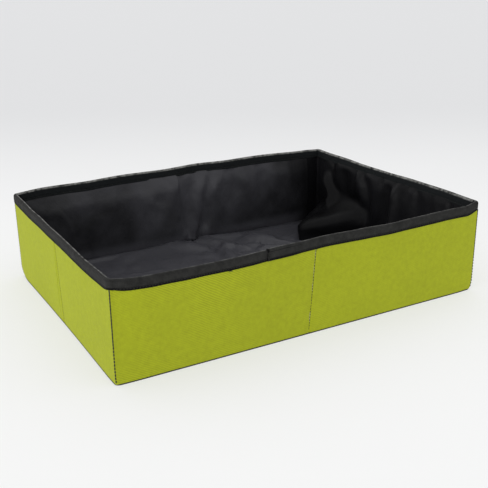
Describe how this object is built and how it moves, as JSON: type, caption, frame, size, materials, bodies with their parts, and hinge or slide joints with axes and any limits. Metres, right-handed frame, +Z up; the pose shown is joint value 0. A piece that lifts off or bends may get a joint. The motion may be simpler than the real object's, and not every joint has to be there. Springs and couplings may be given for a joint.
{
  "type": "foldable litter tray",
  "caption": "Open-topped fabric pet litter tray with boarded, lined walls and a taped rim; its short walls fold inward so that it packs flat.",
  "frame": {"origin": "centre of the underside of the bottom panel, where the open tray stands on the floor", "axes": "+X along the length, +Y from the front wall to the back wall, +Z up"},
  "size_m": [0.5, 0.36, 0.118],
  "materials": {
    "cover_cloth": "woven green oxford cloth, matt",
    "binding_tape": "woven charcoal tape with a soft ribbed face",
    "lining_cloth": "coated black nylon, soft sheen",
    "bottom_cloth": "coarse black cloth, matt",
    "stiff_board": "plain plastic board"
  },
  "bodies": {
    "front_wall": {"bottom_panel": "bottom_cloth", "corner_cover_front_left": "cover_cloth", "corner_cover_front_right": "cover_cloth", "corner_lining_front_left": "lining_cloth", "corner_lining_front_right": "lining_cloth", "corner_tape_front_left": "binding_tape", "corner_tape_front_right": "binding_tape", "floor_lining": "lining_cloth", "front_wall_board_left": "stiff_board", "front_wall_board_right": "stiff_board", "front_wall_cover_left": "cover_cloth", "front_wall_cover_right": "cover_cloth", "front_wall_lining_left": "lining_cloth", "front_wall_lining_right": "lining_cloth", "front_wall_seam": "cover_cloth", "front_wall_tape_left": "binding_tape", "front_wall_tape_right": "binding_tape"},
    "left_wall_front": {"left_wall_board_front": "stiff_board", "left_wall_cover_front": "cover_cloth", "left_wall_lining_front": "lining_cloth", "left_wall_seam": "cover_cloth", "left_wall_tape_front": "binding_tape"},
    "left_wall_back": {"left_wall_board_back": "stiff_board", "left_wall_cover_back": "cover_cloth", "left_wall_lining_back": "lining_cloth", "left_wall_tape_back": "binding_tape"},
    "back_wall": {"back_wall_board_left": "stiff_board", "back_wall_board_right": "stiff_board", "back_wall_cover_left": "cover_cloth", "back_wall_cover_right": "cover_cloth", "back_wall_lining_left": "lining_cloth", "back_wall_lining_right": "lining_cloth", "back_wall_seam": "cover_cloth", "back_wall_tape_left": "binding_tape", "back_wall_tape_right": "binding_tape", "corner_cover_back_left": "cover_cloth", "corner_cover_back_right": "cover_cloth", "corner_lining_back_left": "lining_cloth", "corner_lining_back_right": "lining_cloth", "corner_tape_back_left": "binding_tape", "corner_tape_back_right": "binding_tape"},
    "right_wall_front": {"right_wall_board_front": "stiff_board", "right_wall_cover_front": "cover_cloth", "right_wall_lining_front": "lining_cloth", "right_wall_seam": "cover_cloth", "right_wall_tape_front": "binding_tape"},
    "right_wall_back": {"right_wall_board_back": "stiff_board", "right_wall_cover_back": "cover_cloth", "right_wall_lining_back": "lining_cloth", "right_wall_tape_back": "binding_tape"}
  },
  "joints": [
    {"name": "side_fold", "type": "hinge", "parent": "front_wall", "child": "left_wall_front", "pos_m": [-0.244, -0.174, 0.059], "axis": [0, 0, -1], "range_deg": [0, 90], "deforming": ["corner_cover_front_left", "corner_lining_front_left", "corner_tape_front_left", "bottom_panel", "floor_lining", "front_wall_lining_left", "left_wall_lining_front"]},
    {"name": "left_seam_fold", "type": "hinge", "parent": "left_wall_front", "child": "left_wall_back", "pos_m": [-0.251, 0, 0.059], "axis": [0, 0, -1], "range_deg": [-180, 0], "deforming": ["left_wall_seam", "left_wall_lining_back"]},
    {"name": "back_left_corner_fold", "type": "hinge", "parent": "left_wall_back", "child": "back_wall", "pos_m": [-0.244, 0.174, 0.059], "axis": [0, 0, -1], "range_deg": [0, 90], "deforming": ["corner_cover_back_left", "corner_lining_back_left", "corner_tape_back_left", "back_wall_lining_left"]},
    {"name": "back_right_corner_fold", "type": "hinge", "parent": "back_wall", "child": "right_wall_back", "pos_m": [0.244, 0.174, 0.059], "axis": [0, 0, -1], "range_deg": [0, 90], "deforming": ["corner_cover_back_right", "corner_lining_back_right", "corner_tape_back_right", "back_wall_lining_right", "right_wall_lining_back"]},
    {"name": "front_right_corner_fold", "type": "hinge", "parent": "front_wall", "child": "right_wall_front", "pos_m": [0.244, -0.174, 0.059], "axis": [0, 0, -1], "range_deg": [-90, 0], "deforming": ["corner_cover_front_right", "corner_lining_front_right", "corner_tape_front_right", "front_wall_lining_right", "right_wall_lining_front", "right_wall_seam"]}
  ],
  "couplings": [
    {"joint": "left_seam_fold", "follows": "side_fold", "ratio": -2},
    {"joint": "back_left_corner_fold", "follows": "side_fold", "ratio": 1},
    {"joint": "back_right_corner_fold", "follows": "side_fold", "ratio": 1},
    {"joint": "front_right_corner_fold", "follows": "side_fold", "ratio": -1}
  ]
}
